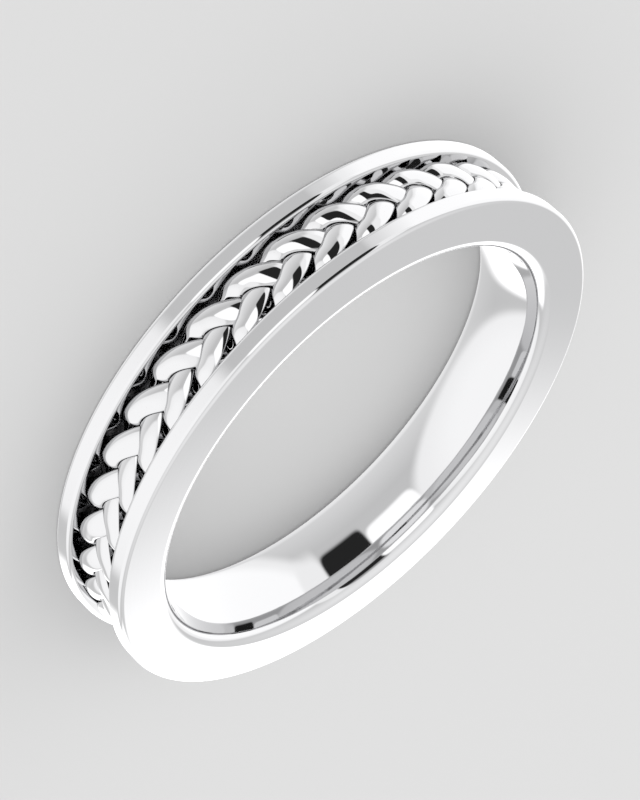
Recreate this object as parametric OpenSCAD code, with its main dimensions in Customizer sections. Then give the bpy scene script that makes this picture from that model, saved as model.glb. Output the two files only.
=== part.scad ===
// Braided band ring: a solid band with a channel round its outside and a braid of three
// half-round wires lying in that channel between two polished rails.
// Millimetres. The finger hole runs along +Z, and the ring lies flat on z = 0.

/* [Finger hole] */
// Smallest diameter of the finger hole, at the middle of its comfort-fit curve
bore_d = 19.0; // [17.4:0.2:21]
// Straight length at the middle of the hole
bore_land = 0.4; // [0.3:0.05:0.7]
// Radius of the comfort-fit curve that opens the hole from there towards each side
curve_r = 5.8; // [5:0.1:9]

/* [Band] */
// Metal left between the middle of the hole and the channel floor
floor_t = 1.39; // [1.2:0.01:1.7]
// Width of each rail beside the braid
rail_w = 0.82; // [0.65:0.01:1.1]
// Radius on the outer edges of the rails
rail_r = 0.22; // [0.1:0.01:0.3]
// Radius on the edges of the finger hole
mouth_r = 0.48; // [0.35:0.01:0.55]

/* [Braid] */
// Mean width of one braided wire
wire_w = 0.904; // [0.8:0.01:0.98]
// Height of the domed top of a wire over its widest line
wire_crown = 0.154; // [0.13:0.01:0.19]
// Depth of the flat underside of a wire below its widest line
wire_belly = 0.094; // [0.07:0.01:0.12]
// Least length of one wave of a wire, as a share of its width
lay = 6.6; // [6.6:0.05:7.6]

/* [Clearances] */
// Gap between the braid and each channel wall
wall_gap = 0.061; // [0.02:0.01:0.1]
// Gap between the braid and the channel floor
floor_gap = 0.03; // [0.02:0.01:0.08]
// How far the braid stays below the top of the rails
sink = 0.281; // [0.1:0.01:0.4]

/* [Hidden] */

// Shape of one wave. The swing to the side is a share of a wire's width and the lift a share of
// its height. The numbered terms are ripples on them, and the lags are degrees of a wave.
swing_share = 0.823;
swing_3s = 0.037;
swing_3c = 0.019;
swing_5s = -0.009;
swing_5c = 0.007;
lift = 1.117;
lift_lag = -0.7;
lift_4s = -0.053;
lift_4c = 0.281;
lift_6s = -0.05;
lift_6c = -0.049;

// How the section changes along a wave: wider and taller on top, thin below, and tilted
width_swell = 0.106;
width_lag = 104.9;
crown_swell = -0.077;
belly_swell = -0.217;
roll_1 = -6.4;
roll_lag = 80.6;
roll_3s = 2.4;
roll_3c = -4.3;
roll_5s = 2.0;
roll_5c = 0.9;
side_power = 2.04;
dome_power = 1.47;

// Angle round the ring at which the first wire crosses the middle
first_wave = 2.33;

wire_t = wire_crown + wire_belly;

// Radius of a full-round surface is smooth at this number of segments
$fn = 96;
sides = 12;
steps = 18;

function power(v, n) = sign(v) * pow(abs(v), 2 / n);
function ripple(t, n, s, c) = s * sin(n * t) + c * cos(n * t);
function ripple_slope(t, n, s, c) = n * (s * cos(n * t) - c * sin(n * t));

// One wave: t runs 0 to 360 from one wall's crossing to the next, and each wire is the same
// wave shifted by a third. High and going out for t 0 to 90, low and coming back to 180.
function sway(t) = sin(t) + ripple(t, 3, swing_3s, swing_3c) + ripple(t, 5, swing_5s, swing_5c);
function sway_slope(t) = cos(t) + ripple_slope(t, 3, swing_3s, swing_3c)
    + ripple_slope(t, 5, swing_5s, swing_5c);
function heave(t) = sin(2 * t + lift_lag) + ripple(t, 4, lift_4s, lift_4c)
    + ripple(t, 6, lift_6s, lift_6c);
function heave_slope(t) = 2 * cos(2 * t + lift_lag) + ripple_slope(t, 4, lift_4s, lift_4c)
    + ripple_slope(t, 6, lift_6s, lift_6c);
function roll(t) = roll_1 * cos(t - roll_lag) + ripple(t, 3, roll_3s, roll_3c)
    + ripple(t, 5, roll_5s, roll_5c);

// Half-round section of a wire at t, as side and height of the point at angle a
function half_w(t) = wire_w / 2 * (1 + width_swell * sin(2 * t + width_lag));
function crown(t) = wire_crown * (1 + crown_swell * sin(2 * t + lift_lag));
function belly(t) = wire_belly * (1 + belly_swell * sin(2 * t + lift_lag));
function spot(t, a) = [half_w(t) * power(cos(a), side_power),
    (sin(a) < 0 ? belly(t) : crown(t)) * power(sin(a), dome_power)];

// How high and low the wires reach from their mean radius, and how far to the side
swing = swing_share * wire_w;
rise = lift * wire_t;
reach_up = max([for (t = [0:5:355], a = [0:15:345])
    rise * heave(t) + spot(t, a)[0] * sin(roll(t)) + spot(t, a)[1] * cos(roll(t))]);
reach_down = -min([for (t = [0:5:355], a = [0:15:345])
    rise * heave(t) + spot(t, a)[0] * sin(roll(t)) + spot(t, a)[1] * cos(roll(t))]);
reach_side = max([for (t = [0:5:355]) abs(swing * sway(t)) + half_w(t) * cos(roll(t))]);

floor_r = bore_d / 2 + floor_t;
mean_r = floor_r + floor_gap + reach_down;
band_r = mean_r + reach_up + sink;
channel_w = 2 * (reach_side + wall_gap);
band_w = channel_w + 2 * rail_w;
waves = floor(2 * PI * mean_r / (lay * wire_w));

// The curve leans outward until it runs smoothly into the rounded mouth, which ends at the rim
lean = asin(((band_w - bore_land) / 2 - mouth_r) / (curve_r - mouth_r));
curve_w = bore_land / 2 + curve_r * sin(lean);
rim_r = bore_d / 2 + curve_r * (1 - cos(lean)) + mouth_r * cos(lean);

// Half of the band's section, above the middle line: x is the radius and y the height
module rail_section() {
    low = channel_w / 2;
    top = band_w / 2;
    translate([rim_r, low])
        square([band_r - rail_r - rim_r, top - low]);
    translate([band_r - 2 * rail_r, low + rail_r])
        square([2 * rail_r, top - low - 2 * rail_r]);
    for (y = [low + rail_r, top - rail_r])
        translate([band_r - rail_r, y])
            circle(r = rail_r);
}

module hoop_section() {
    top = band_w / 2;
    translate([rim_r, 0])
        square([floor_r - rim_r, top]);
    translate([bore_d / 2, 0])
        square([rim_r - bore_d / 2, bore_land / 2]);
    intersection() {
        translate([bore_d / 2 + curve_r, bore_land / 2])
            circle(r = curve_r);
        translate([bore_d / 2, bore_land / 2])
            square([rim_r - bore_d / 2, curve_w - bore_land / 2]);
    }
    intersection() {
        translate([rim_r, top - mouth_r])
            circle(r = mouth_r);
        translate([bore_d / 2, curve_w])
            square([rim_r - bore_d / 2, top - curve_w]);
    }
}

module band() {
    color([0.86, 0.86, 0.87])
        translate([0, 0, band_w / 2])
            rotate_extrude($fn = 180)
                for (side = [0, 1])
                    mirror([0, side]) {
                        rail_section();
                        hoop_section();
                    }
}

// A point of wire i: the wave's place at angle p round the ring, then the section turned to
// stand across the wire. Parts of a direction are radial, along the ring and along the hole.
function unit(v) = v / norm(v);
function turned(v, p) = [v[0] * cos(p) - v[1] * sin(p), v[0] * sin(p) + v[1] * cos(p), v[2]];
function across(t, r) = unit([0, waves * swing * sway_slope(t), -r]);
function along(t, r) = unit([waves * rise * heave_slope(t), r, waves * swing * sway_slope(t)]);
function wire_point(p, t, r, a) =
    let (s = across(t, r), u = cross(s, along(t, r)), q = spot(t, a), g = roll(t))
    turned([r, 0, band_w / 2 + swing * sway(t)]
        + s * (q[0] * cos(g) - q[1] * sin(g)) + u * (q[0] * sin(g) + q[1] * cos(g)), p);

module strand(i) {
    rings = waves * steps;
    points = [for (j = [0:rings - 1], k = [0:sides - 1])
        let (p = 360 * j / rings + first_wave, t = 360 * j / steps + 120 * i)
        wire_point(p, t, mean_r + rise * heave(t), 360 * k / sides)];
    faces = [for (j = [0:rings - 1], k = [0:sides - 1])
        let (j2 = (j + 1) % rings, k2 = (k + 1) % sides)
        each [[j * sides + k, j2 * sides + k2, j2 * sides + k],
            [j * sides + k, j * sides + k2, j2 * sides + k2]]];
    color([0.88, 0.88, 0.89])
        polyhedron(points = points, faces = faces, convexity = 10);
}

module strand_1() {
    strand(0);
}

module strand_2() {
    strand(1);
}

module strand_3() {
    strand(2);
}

band();
strand_1();
strand_2();
strand_3();
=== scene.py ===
# %% [markdown]
# # A braided band ring
# The ring is a band of white gold with a channel turned into its outside. Three half-round
# wires, plaited flat, lie in the channel between two polished rails. This lesson dresses the
# solids of the part: it rebuilds the band and the wires with fine, smooth surfaces in the same
# places, gives the metal its finish, and sets up the studio and the camera.

# %% Load the part
import math

import bpy
import numpy as np
from mathutils import Matrix


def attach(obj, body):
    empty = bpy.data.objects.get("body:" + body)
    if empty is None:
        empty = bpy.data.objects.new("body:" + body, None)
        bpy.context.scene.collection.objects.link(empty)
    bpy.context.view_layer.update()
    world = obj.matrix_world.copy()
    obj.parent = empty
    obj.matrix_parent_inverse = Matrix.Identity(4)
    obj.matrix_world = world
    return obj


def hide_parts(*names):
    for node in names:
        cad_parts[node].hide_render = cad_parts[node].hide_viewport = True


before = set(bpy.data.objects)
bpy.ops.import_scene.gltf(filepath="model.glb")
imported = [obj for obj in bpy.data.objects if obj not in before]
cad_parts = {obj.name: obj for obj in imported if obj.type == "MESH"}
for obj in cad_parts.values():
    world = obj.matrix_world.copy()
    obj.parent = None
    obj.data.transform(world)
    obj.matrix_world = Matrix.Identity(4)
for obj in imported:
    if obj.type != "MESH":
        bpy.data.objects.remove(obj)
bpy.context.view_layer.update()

MM = 0.001
print("solids:", sorted(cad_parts))

# %% [markdown]
# ## Sizes
# The sizes are those of the part's own source, in millimetres, so that each surface lands where
# its solid is. A ring is measured from its finger hole outwards: hole, wall, channel floor,
# braid, rail. The braid's lift and swing come from the size of its wire. Two details differ by
# under 0.02 mm from the solid. Its hole has a 0.4 mm straight land between two 5.8 mm curves,
# where a buffed hole is one long curve, here of 7.4 mm. And its rails have an edge radius of
# 0.22 mm, where the thin glint along the real edge asks for 0.18 mm.

# %% Sizes of the ring
BORE_D, CURVE_R, MOUTH_R = 19.0, 7.4, 0.48
FLOOR_T, RAIL_W, RAIL_R = 1.39, 0.82, 0.18
WIRE_W, WIRE_CROWN, WIRE_BELLY, LAY = 0.904, 0.154, 0.094, 6.6
WALL_GAP, FLOOR_GAP, SINK = 0.061, 0.03, 0.281
SIDE_POWER, DOME_POWER = 2.04, 1.47
FIRST_WAVE = math.radians(2.33)
print(f"hole {BORE_D} mm, wire {WIRE_W} mm wide and {WIRE_CROWN + WIRE_BELLY:.3f} mm thick")

# %% [markdown]
# ## One wave of a wire
# In a flat plait every wire does the same thing a third of a wave after the one before it: it
# swings to one wall and back, and rises over one neighbour and dips under the other. A plait
# could be drawn as three curves by hand, but a rule is surer. Here sine waves give the swing,
# the lift and a slight roll of the section, and faster ripples on them keep the wires flat on
# top and steep where they dive, as pressed wires are. The functions take an angle t that goes
# once round for each wave.

# %% How a wire swings, lifts and rolls
SWING = 0.823 * WIRE_W
RISE = 1.117 * (WIRE_CROWN + WIRE_BELLY)
ROLL, ROLL_LAG = -6.4, math.radians(80.6)
LIFT_LAG, WIDTH_LAG = math.radians(-0.7), math.radians(104.9)

# Ripples: how many to a wave, and their sine and cosine parts. Those of the roll are in degrees.
SWAY_RIPPLES = ((3, 0.037, 0.019), (5, -0.009, 0.007))
HEAVE_RIPPLES = ((4, -0.053, 0.281), (6, -0.05, -0.049))
ROLL_RIPPLES = ((3, 2.4, -4.3), (5, 2.0, 0.9))


def rippled(main, t, ripples):
    return main + sum(s * np.sin(n * t) + c * np.cos(n * t) for n, s, c in ripples)


def sway(t):
    return rippled(np.sin(t), t, SWAY_RIPPLES)


def heave(t):
    return rippled(np.sin(2 * t + LIFT_LAG), t, HEAVE_RIPPLES)


def roll(t):
    return np.radians(rippled(ROLL * np.cos(t - ROLL_LAG), t, ROLL_RIPPLES))


def slope(rule, t, step=1e-4):
    """How fast a rule changes at t."""
    return (rule(t + step) - rule(t - step)) / (2 * step)


# %% [markdown]
# ## The section of a wire
# The wires are half-round: domed on top, nearly flat below, with a narrow edge at each side. A
# circle and a flat could give that, but then every edge would be a sharp corner. A superellipse,
# which is a circle with other powers, gives dome and edge in one formula. Along a wave the wire
# is widest where it crosses the middle and narrowest where it turns at a wall, and it is a
# little flatter on top, where the plait was pressed, than where it dips under.

# %% The section at a place on the wave
WIDTH_SWELL, CROWN_SWELL, BELLY_SWELL = 0.106, -0.077, -0.217


def half_width(t):
    return WIRE_W / 2 * (1 + WIDTH_SWELL * np.sin(2 * t + WIDTH_LAG))


def power(v, n):
    return np.sign(v) * np.abs(v) ** (2 / n)


def section(t, a):
    """Side and height of the wire's surface at wave angle t and section angle a."""
    crown = WIRE_CROWN * (1 + CROWN_SWELL * np.sin(2 * t + LIFT_LAG))
    belly = WIRE_BELLY * (1 + BELLY_SWELL * np.sin(2 * t + LIFT_LAG))
    height = np.where(np.sin(a) < 0, belly, crown)
    return half_width(t) * power(np.cos(a), SIDE_POWER), height * power(np.sin(a), DOME_POWER)


# %% [markdown]
# ## The room that the braid needs
# The channel is cut to the braid, not the other way round, so its width and depth follow from
# how far the wires reach. They are taken on the same coarse steps as in the source, so that
# both give the same band.

# %% Channel and band from the braid
t_steps, a_steps = np.radians(np.meshgrid(np.arange(0, 360, 5), np.arange(0, 360, 15)))
side, height = section(t_steps, a_steps)
reach = RISE * heave(t_steps) + side * np.sin(roll(t_steps)) + height * np.cos(roll(t_steps))
reach_side = (np.abs(SWING * sway(t_steps)) + half_width(t_steps) * np.cos(roll(t_steps))).max()

FLOOR = BORE_D / 2 + FLOOR_T
MEAN = FLOOR + FLOOR_GAP - reach.min()
OUTER = MEAN + reach.max() + SINK
CHANNEL = 2 * (reach_side + WALL_GAP)
WIDTH = CHANNEL + 2 * RAIL_W
WAVES = math.floor(2 * math.pi * MEAN / (LAY * WIRE_W))
print(f"{WAVES} waves, channel {CHANNEL:.3f} mm wide")
print(f"band {WIDTH:.3f} mm wide and {2 * OUTER:.3f} mm across")

# %% [markdown]
# ## Adding nodes
# Geometry, materials and the studio are all made of nodes. One small function adds a node, sets
# its settings and joins its inputs, so that each tree below reads from top to bottom like a
# recipe.

# %% One function for every node
def add(tree, kind, links=None, **settings):
    """Adds a node. links maps an input's name or number to a socket or a plain value."""
    made = tree.nodes.new(kind)
    for name, value in settings.items():
        setattr(made, name, value)
    for key, value in (links or {}).items():
        if isinstance(value, bpy.types.NodeSocket):
            tree.links.new(value, made.inputs[key])
        else:
            made.inputs[key].default_value = value
    return made


def linear(hex_colour):
    """An sRGB hex colour as the linear colour that a shader takes."""
    parts = [int(hex_colour[i:i + 2], 16) / 255 for i in (1, 3, 5)]
    return [c / 12.92 if c <= 0.04045 else ((c + 0.055) / 1.055) ** 2.4 for c in parts] + [1.0]


# %% [markdown]
# ## The finish of the metal
# White gold is alloyed pale and then plated with rhodium, which gives it the cool, even white
# of a mirror. It is buffed on a soft wheel: the eye sees sharp reflections with a hint of haze,
# and here and there the very fine lines of the wheel, which run round the ring. Those lines are
# a few microns apart in life. That is far too fine to show, so they are drawn 0.09 mm apart and
# very faint. The metal sends back a little over half of the light, so what it shows a second
# time, in the mouth of the hole or between the wires, is clearly darker.

# %% Coordinates and marks of the buffing wheel
METAL, POLISH = "#C4C4C5", 0.03
LINE_STEP, LINES_ROUND, LINE_DEPTH, LINE_STRENGTH = 0.09, 6.0, 0.01, 0.02
HAZE_STEP = 2.0


def ring_coordinates(tree):
    """Sockets with the distance from the hole's axis, the angle round it and the height, in metres."""
    place = add(tree, "ShaderNodeTexCoord")
    parts = add(tree, "ShaderNodeSeparateXYZ", {0: place.outputs["Object"]})
    flat = add(tree, "ShaderNodeCombineXYZ", {0: parts.outputs[0], 1: parts.outputs[1]})
    radius = add(tree, "ShaderNodeVectorMath", {0: flat.outputs[0]}, operation="LENGTH")
    angle = add(tree, "ShaderNodeMath", {0: parts.outputs[1], 1: parts.outputs[0]}, operation="ARCTAN2")
    return radius.outputs["Value"], angle.outputs[0], parts.outputs[2]


def wheel_lines(tree, radius, angle, height):
    """A bump of lines that are fine across the ring and long round it."""
    across = add(tree, "ShaderNodeCombineXYZ", {0: radius, 1: height})
    scaled = add(tree, "ShaderNodeVectorMath", {
        0: across.outputs[0], "Scale": 1 / (LINE_STEP * MM)}, operation="SCALE")
    round_it = add(tree, "ShaderNodeMath", {0: angle, 1: LINES_ROUND}, operation="MULTIPLY")
    long_way = add(tree, "ShaderNodeCombineXYZ", {2: round_it.outputs[0]})
    place = add(tree, "ShaderNodeVectorMath", {0: scaled.outputs[0], 1: long_way.outputs[0]})
    lines = add(tree, "ShaderNodeTexNoise", {"Vector": place.outputs[0], "Scale": 1.0, "Detail": 2.0})
    return add(tree, "ShaderNodeBump", {
        "Height": lines.outputs["Fac"], "Strength": LINE_STRENGTH, "Distance": LINE_DEPTH * MM}).outputs[0]


def polish_haze(tree):
    """Roughness in soft patches, where the polish is a little more or less bright."""
    place = add(tree, "ShaderNodeTexCoord")
    patches = add(tree, "ShaderNodeTexNoise", {
        "Vector": place.outputs["Object"], "Scale": 1 / (HAZE_STEP * MM), "Detail": 2.0})
    return add(tree, "ShaderNodeMapRange", {
        0: patches.outputs["Fac"], 1: 0.3, 2: 0.7, 3: POLISH * 0.8, 4: POLISH * 1.3}).outputs[0]


# %% [markdown]
# ## Where the wheel can't reach, and painted shade in the hollows
# Down in the channel and between the wires the metal stays duller, and its colour is painted darker
# there as shade in the hollows. One material for each could be painted on by hand, but depth
# alone tells where the wheel reached. So the polish and the painted shade fade with the distance
# from the hole's axis. The finger hole lies deeper still, yet it is as bright as the rails, so on
# the band the dull, painted-shade part is also kept between the two channel walls.

# %% White gold, rhodium plated, buffed
# How far in mm the dull, painted-shade part goes into the channel walls, under the floor and over it at
# full
INTO_WALLS, UNDER_FLOOR, OVER_FLOOR = 0.01, 0.2, 0.01


def between_walls(tree, radius, height):
    """A mask that is 1 in the channel of the band and 0 on its rails and in its hole."""
    middle = add(tree, "ShaderNodeMath", {0: height, 1: WIDTH / 2 * MM}, operation="SUBTRACT")
    off_middle = add(tree, "ShaderNodeMath", {0: middle.outputs[0]}, operation="ABSOLUTE")
    inside = add(tree, "ShaderNodeMath", {
        0: off_middle.outputs[0], 1: (CHANNEL / 2 + INTO_WALLS) * MM}, operation="LESS_THAN")
    above_hole = add(tree, "ShaderNodeMath", {
        0: radius, 1: (FLOOR - UNDER_FLOOR) * MM}, operation="GREATER_THAN")
    return add(tree, "ShaderNodeMath", {
        0: inside.outputs[0], 1: above_hole.outputs[0]}, operation="MULTIPLY").outputs[0]


def white_gold(name, dull_and_shade_from, painted_shade_colour, dull_roughness, walled):
    """Buffed white gold that turns dull, with painted shade darkening its colour, from a radius in mm down
    to the channel floor.
    """
    material = bpy.data.materials.new(name)
    material.use_nodes = True
    tree = material.node_tree
    radius, angle, height = ring_coordinates(tree)
    dull_and_shade = add(tree, "ShaderNodeMapRange", {
        0: radius, 1: (FLOOR + OVER_FLOOR) * MM, 2: dull_and_shade_from * MM, 3: 1.0, 4: 0.0},
        interpolation_type="SMOOTHSTEP").outputs[0]
    if walled:
        dull_and_shade = add(tree, "ShaderNodeMath", {
            0: between_walls(tree, radius, height), 1: dull_and_shade}, operation="MULTIPLY").outputs[0]
    # The darker colour in the channel and between the wires is painted shade; the rougher finish there is
    # the duller polish.
    colour = add(tree, "ShaderNodeMix", {
        0: dull_and_shade, 6: linear(METAL), 7: linear(painted_shade_colour)}, data_type="RGBA")
    rough = add(tree, "ShaderNodeMix", {
        0: dull_and_shade, 2: polish_haze(tree), 3: dull_roughness}, data_type="FLOAT")
    shader = tree.nodes["Principled BSDF"]
    shader.inputs["Metallic"].default_value = 1.0
    tree.links.new(colour.outputs[2], shader.inputs["Base Color"])
    tree.links.new(rough.outputs[0], shader.inputs["Roughness"])
    tree.links.new(wheel_lines(tree, radius, angle, height), shader.inputs["Normal"])
    return material


# The second colour of each metal is painted shade for the hollows of the channel and the braid.
wire_metal = white_gold("white_gold_wire_rhodium_buffed", 11.3, "#BABABC", 0.3, walled=False)
band_metal = white_gold("white_gold_band_rhodium_buffed", 11.75, "#B6B6B8", 0.35, walled=True)
print("materials:", wire_metal.name, "and", band_metal.name)

# %% [markdown]
# ## The whole ring from one segment
# The ring repeats itself once for each wave, so only one segment of the band and one wave of
# wire are made as meshes. Geometry Nodes then place a copy at each step round the axis and join
# them. Turning one mesh keeps all waves equal, and a change to the segment shows everywhere.

# %% A tree that turns a segment into a ring
ring_tree = bpy.data.node_groups.new("ring_from_segment", "GeometryNodeTree")
sockets = {}
for name, kind, into in (
        ("Segment", "NodeSocketGeometry", "INPUT"),
        ("Segments", "NodeSocketInt", "INPUT"),
        ("First angle", "NodeSocketFloat", "INPUT"),
        ("Join within", "NodeSocketFloat", "INPUT"),
        ("Metal", "NodeSocketMaterial", "INPUT"),
        ("Ring", "NodeSocketGeometry", "OUTPUT")):
    sockets[name] = ring_tree.interface.new_socket(name, in_out=into, socket_type=kind)

given = add(ring_tree, "NodeGroupInput")
points = add(ring_tree, "GeometryNodeMeshLine", {"Count": given.outputs["Segments"], "Offset": (0, 0, 0)})
number = add(ring_tree, "GeometryNodeInputIndex")
share = add(ring_tree, "ShaderNodeMath", {
    0: number.outputs[0], 1: given.outputs["Segments"]}, operation="DIVIDE")
turn = add(ring_tree, "ShaderNodeMath", {
    0: share.outputs[0], 1: 2 * math.pi, 2: given.outputs["First angle"]}, operation="MULTIPLY_ADD")
euler = add(ring_tree, "ShaderNodeCombineXYZ", {2: turn.outputs[0]})
spin = add(ring_tree, "FunctionNodeEulerToRotation", {0: euler.outputs[0]})
copies = add(ring_tree, "GeometryNodeInstanceOnPoints", {
    "Points": points.outputs[0], "Instance": given.outputs["Segment"], "Rotation": spin.outputs[0]})
solid = add(ring_tree, "GeometryNodeRealizeInstances", {0: copies.outputs[0]})
joined = add(ring_tree, "GeometryNodeMergeByDistance", {
    "Geometry": solid.outputs[0], "Distance": given.outputs["Join within"]})
smooth = add(ring_tree, "GeometryNodeSetShadeSmooth", {"Geometry": joined.outputs[0]})
coated = add(ring_tree, "GeometryNodeSetMaterial", {
    "Geometry": smooth.outputs[0], "Material": given.outputs["Metal"]})
add(ring_tree, "NodeGroupOutput", {0: coated.outputs[0]})
print("ring tree:", len(ring_tree.nodes), "nodes")

# %% Running the tree
# Neighbouring copies share a rim, and points this near in metres are welded there
JOIN_WITHIN = 2e-7


def ring_piece(name, segment, first_angle, metal):
    """Runs the tree on a segment and keeps the result as a plain mesh object."""
    start = bpy.data.objects.new(name + "_segment", segment)
    bpy.context.scene.collection.objects.link(start)
    nodes = start.modifiers.new("ring", "NODES")
    nodes.node_group = ring_tree
    for key, value in (("Segments", WAVES), ("First angle", first_angle),
                       ("Join within", JOIN_WITHIN), ("Metal", metal)):
        nodes[sockets[key].identifier] = value
    bpy.context.view_layer.update()
    mesh = bpy.data.meshes.new_from_object(start.evaluated_get(bpy.context.evaluated_depsgraph_get()))
    start.modifiers.clear()
    bpy.data.objects.remove(start)
    mesh.name = name
    piece = bpy.data.objects.new(name, mesh)
    bpy.context.scene.collection.objects.link(piece)
    print(name, len(mesh.vertices), "points,", sum(len(f.vertices) - 2 for f in mesh.polygons), "triangles")
    return piece


def sheet_of(points):
    """A mesh of four-sided faces over a grid of points in mm, closed along its second direction."""
    rows, cols = points.shape[:2]
    faces = []
    for j in range(rows - 1):
        for k in range(cols):
            k2 = (k + 1) % cols
            faces.append((j * cols + k, (j + 1) * cols + k, (j + 1) * cols + k2, j * cols + k2))
    mesh = bpy.data.meshes.new("segment")
    mesh.from_pydata((points.reshape(-1, 3) * MM).tolist(), [], faces)
    return mesh


# %% [markdown]
# ## The wires
# A jeweller plaits the three wires flat, closes them to a loop and presses them into the
# channel. A curve with a bevel would be quick, but its section can't change along the way. So
# the surface is worked out point by point: at each step the path's direction comes first, then
# a side direction and an upward one across it, and the section stands square on those.

# %% One wave of wire as a mesh
WAVE_STEPS, WIRE_SIDES = 60, 48


def unit(v):
    return v / np.linalg.norm(v, axis=-1, keepdims=True)


t = np.linspace(0, 2 * math.pi, WAVE_STEPS + 1)[:, None]
a = np.linspace(0, 2 * math.pi, WIRE_SIDES, endpoint=False)[None, :]
r = MEAN + RISE * heave(t)
nothing = np.zeros_like(r)
along = unit(np.stack([WAVES * RISE * slope(heave, t), r, WAVES * SWING * slope(sway, t)], -1))
sideways = unit(np.stack([nothing, WAVES * SWING * slope(sway, t), -r], -1))
upward = np.cross(sideways, along)
side, height = section(t, a)
turned_side = side * np.cos(roll(t)) - height * np.sin(roll(t))
turned_up = side * np.sin(roll(t)) + height * np.cos(roll(t))
centre = np.stack([r, nothing, WIDTH / 2 + SWING * sway(t)], -1)
flat = centre + sideways * turned_side[..., None] + upward * turned_up[..., None]
p = t / WAVES
wave = np.stack([flat[..., 0] * np.cos(p) - flat[..., 1] * np.sin(p),
                 flat[..., 0] * np.sin(p) + flat[..., 1] * np.cos(p), flat[..., 2]], -1)
wire_segment = sheet_of(wave)
print("one wave of wire:", len(wire_segment.vertices), "points")

# %% Three wires, each a third of a wave behind the last
for number in range(3):
    behind = number * 2 * math.pi / WAVES / 3
    wire = ring_piece(f"braided_wire_{number + 1}", wire_segment, FIRST_WAVE - behind, wire_metal)
    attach(wire, "root")
    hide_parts(f"strand_{number + 1}")

# %% [markdown]
# ## The band
# A jeweller turns the band on a lathe, so its section says everything: rails with softened
# edges, flat side faces, rounded mouths and a hole whose wall swells a little towards its
# middle, which lets the ring slide over a knuckle. The solid of the band has the same form, but
# its faces are too coarse for a mirror finish, so it is turned again here in finer steps.

# %% The band's section
ARC_STEPS, CURVE_STEPS = 18, 24
HOLD = 0.008


def arc(x, y, radius, start, end, steps=ARC_STEPS):
    """Points on an arc in mm, with one more point just before and after it, so that flats stay flat."""
    angles = np.radians(np.linspace(start, end, steps + 1))
    points = [(x + radius * math.cos(v), y + radius * math.sin(v)) for v in angles]
    turn = math.copysign(HOLD, end - start)
    first = (points[0][0] + turn * math.sin(angles[0]), points[0][1] - turn * math.cos(angles[0]))
    last = (points[-1][0] - turn * math.sin(angles[-1]), points[-1][1] + turn * math.cos(angles[-1]))
    return [first] + points + [last]


# The hole's curve leans outward until it runs smoothly into the rounded mouth
top, low = WIDTH / 2, CHANNEL / 2
lean = math.asin((top - MOUTH_R) / (CURVE_R - MOUTH_R))
rim = BORE_D / 2 + CURVE_R * (1 - math.cos(lean)) + MOUTH_R * math.cos(lean)
half = [(FLOOR, low - HOLD), (FLOOR, low), (FLOOR + HOLD, low)]
half += arc(OUTER - RAIL_R, low + RAIL_R, RAIL_R, -90, 0)
half += arc(OUTER - RAIL_R, top - RAIL_R, RAIL_R, 0, 90)
half += arc(rim, top - MOUTH_R, MOUTH_R, 90, 180 - math.degrees(lean), 2 * ARC_STEPS)[:-1]
half += [(BORE_D / 2 + CURVE_R * (1 - math.cos(v)), CURVE_R * math.sin(v))
         for v in np.linspace(lean, 0, CURVE_STEPS)]
band_section = np.array(half + [(x, -y) for x, y in reversed(half[:-1])])
print("section of the band:", len(band_section), "points")

# %% The band, turned in one segment for each wave
TURNS = 30
angles = np.linspace(0, 2 * math.pi / WAVES, TURNS + 1)[:, None]
radii, heights = band_section[:, 0][None, :], band_section[:, 1][None, :]
turned = np.stack([radii * np.cos(angles), radii * np.sin(angles), heights + WIDTH / 2 + 0 * angles], -1)
band = ring_piece("channelled_band", sheet_of(turned), 0.0, band_metal)
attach(band, "root")
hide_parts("band")

# %% [markdown]
# ## The floor
# The ring lies on a sheet of pale, matt paper. It could also stand on nothing, but its soft
# shadow tells the eye that it lies flat. The metal shows the studio and not the paper, as if
# the ring were held up for its portrait, so the floor is hidden from reflections.

# %% Matt paper under the ring
bpy.ops.mesh.primitive_plane_add(size=4.0)
floor = bpy.context.object
floor.name = "studio_floor"
paper = bpy.data.materials.new("matt_studio_paper")
paper.use_nodes = True
coat = paper.node_tree.nodes["Principled BSDF"].inputs
coat["Base Color"].default_value = linear("#C2C2C2")
coat["Roughness"].default_value = 0.9
floor.data.materials.append(paper)
floor.visible_glossy = False
print("floor:", floor.name)

# %% [markdown]
# ## The room
# Polished metal has hardly any colour of its own: it shows the room. Lamps would give it small
# hard glints, so the light is a room of soft tones, drawn on the sky around the ring. Its walls
# are written as the grey that a mirror of this metal shows, because that is what the eye
# compares.

# %% A soft room on the sky
world = bpy.data.worlds.new("soft_studio")
bpy.context.scene.world = world
world.use_nodes = True
sky = world.node_tree
looking = add(sky, "ShaderNodeTexCoord")
east, north, up = add(sky, "ShaderNodeSeparateXYZ", {0: looking.outputs["Generated"]}).outputs
compass = add(sky, "ShaderNodeMath", {0: north, 1: east}, operation="ARCTAN2").outputs[0]
upwards = add(sky, "ShaderNodeMath", {0: up}, operation="ARCSINE").outputs[0]


def shown(tone):
    """Light that a mirror of the ring's metal shows as this grey, counted from 0 to 255."""
    return ((tone / 255 + 0.055) / 1.055) ** 2.4 / linear(METAL)[0]


# The room from straight below to straight above: degrees of height and the grey shown
TONES = ((-90, 232), (-68, 226), (-55, 216), (-42, 204), (-30, 190),
         (25, 197), (45, 214), (62, 226), (90, 233))
rising = add(sky, "ShaderNodeMapRange", {0: upwards, 1: -math.pi / 2, 2: math.pi / 2})
room = add(sky, "ShaderNodeValToRGB", {0: rising.outputs[0]})
stops = room.color_ramp.elements
for number, (degrees, tone) in enumerate(TONES):
    stop = stops[number] if number < 2 else stops.new(1.0)
    stop.position, stop.color = (degrees + 90) / 180, [shown(tone)] * 3 + [1.0]
light = room.outputs[0]
print("room:", len(TONES), "tones")

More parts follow.
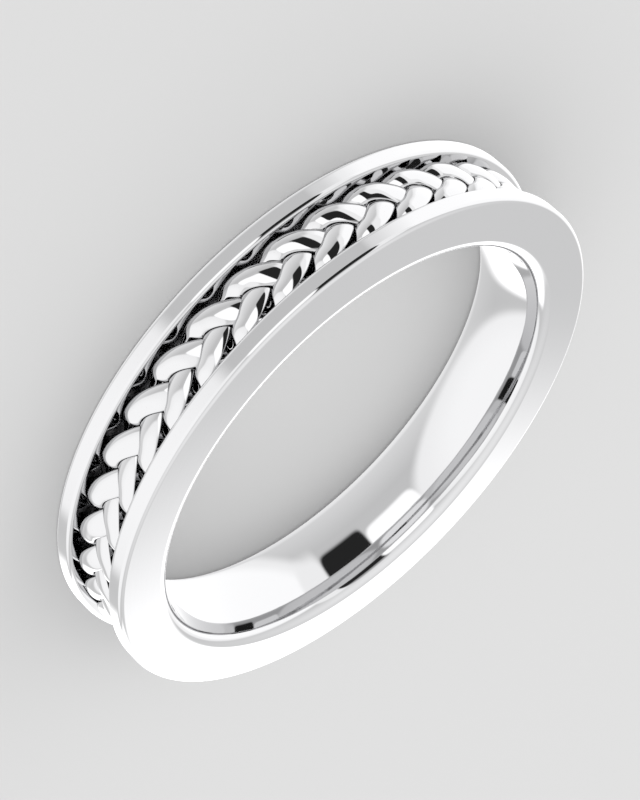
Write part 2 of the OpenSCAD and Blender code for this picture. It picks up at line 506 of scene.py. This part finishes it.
# %% [markdown]
# ## The cards
# In front of the walls stand large cards, as in a jeweller's light tent. The white ones
# draw the bright fields on the wires and in the hole. The one dark card, with its grey rim,
# gives rails, wires and hole their black streaks, without which white metal looks like
# plaster. Each card is a soft-edged shape on the sky, placed by compass and height.

# %% How far from the middle of a card
def off_centre(angle, centre, half, power, around=False):
    """How far an angle lies from a card's centre, 1 at its edge, raised to a power."""
    away = add(sky, "ShaderNodeMath", {0: angle, 1: math.radians(centre)}, operation="SUBTRACT").outputs[0]
    if around:
        away = add(sky, "ShaderNodeMath", {0: away, 1: math.pi, 2: -math.pi}, operation="WRAP").outputs[0]
    share = add(sky, "ShaderNodeMath", {0: away, 1: math.radians(half)}, operation="DIVIDE").outputs[0]
    size = add(sky, "ShaderNodeMath", {0: share}, operation="ABSOLUTE").outputs[0]
    return add(sky, "ShaderNodeMath", {0: size, 1: power}, operation="POWER").outputs[0]


# %% The cards, the later ones in front
CARDS = (
    # name, compass, half width, height and half height in degrees, corner power,
    # softness of the edge, grey shown
    ("right wall", 331, 61, -1, 43, 2, 0.07, 236),
    ("glow on the right wall", 335, 48, -2, 36, 2, 0.35, 245),
    ("left wall", 150, 62, -8, 40, 2, 0.07, 236),
    ("glow on the left wall", 155, 50, -7, 34, 2, 0.10, 251),
    ("white card behind the ring", 68, 29, -2, 29, 4, 0.12, 285),
    ("pale card", 206, 8, 5, 34, 4, 0.20, 236),
    ("grey rim of the dark card", 227, 13.5, 10, 34, 8, 0.12, 150),
    ("dark card", 227, 13.2, 3, 27, 10, 0.06, 36),
    ("white card beside the camera", 257, 16.2, 6, 26, 8, 0.06, 256))
for name, centre, half_wide, height, half_high, corner, soft, tone in CARDS:
    wide = off_centre(compass, centre, half_wide, corner, around=True)
    high = off_centre(upwards, height, half_high, corner)
    both = add(sky, "ShaderNodeMath", {0: wide, 1: high}, operation="ADD").outputs[0]
    edge = add(sky, "ShaderNodeMath", {0: both, 1: 1 / corner}, operation="POWER").outputs[0]
    card = add(sky, "ShaderNodeMapRange", {0: edge, 1: 1 - soft, 2: 1 + soft, 3: 1.0, 4: 0.0},
               interpolation_type="SMOOTHSTEP", label=name).outputs[0]
    grey = [shown(tone)] * 3 + [1.0]
    light = add(sky, "ShaderNodeMix", {0: card, 6: light, 7: grey}, data_type="RGBA").outputs[2]
sky.links.new(light, sky.nodes["Background"].inputs["Color"])
print("cards:", len(CARDS))

# %% [markdown]
# ## The camera
# The camera looks down on the ring with a long lens, from ten centimetres away, and is rolled
# on its own axis, so that the ring stands slanting in the picture. Turning the ring instead
# would give the same picture, but then it would no longer lie on its side.

# %% Camera above and in front
CAMERA_AT = (-0.29679, -90.6785, 46.685)
LOOKS_DOWN, ROLLED = 26.704, 133.219
LENS, SENSOR = 143.42, 36.0
camera_data = bpy.data.cameras.new("camera")
camera_data.lens, camera_data.sensor_width, camera_data.sensor_fit = LENS, SENSOR, "HORIZONTAL"
camera_data.clip_start, camera_data.clip_end = 0.01, 20.0
camera = bpy.data.objects.new("camera", camera_data)
bpy.context.scene.collection.objects.link(camera)
camera.matrix_world = (Matrix.Translation([v * MM for v in CAMERA_AT])
                       @ Matrix.Rotation(math.radians(90 - LOOKS_DOWN), 4, "X")
                       @ Matrix.Rotation(math.radians(ROLLED), 4, "Z"))
bpy.context.scene.camera = camera
bpy.context.scene.view_settings.view_transform = "Standard"
print(f"camera {math.hypot(*CAMERA_AT):.1f} mm away, looking {LOOKS_DOWN:.1f} degrees down")
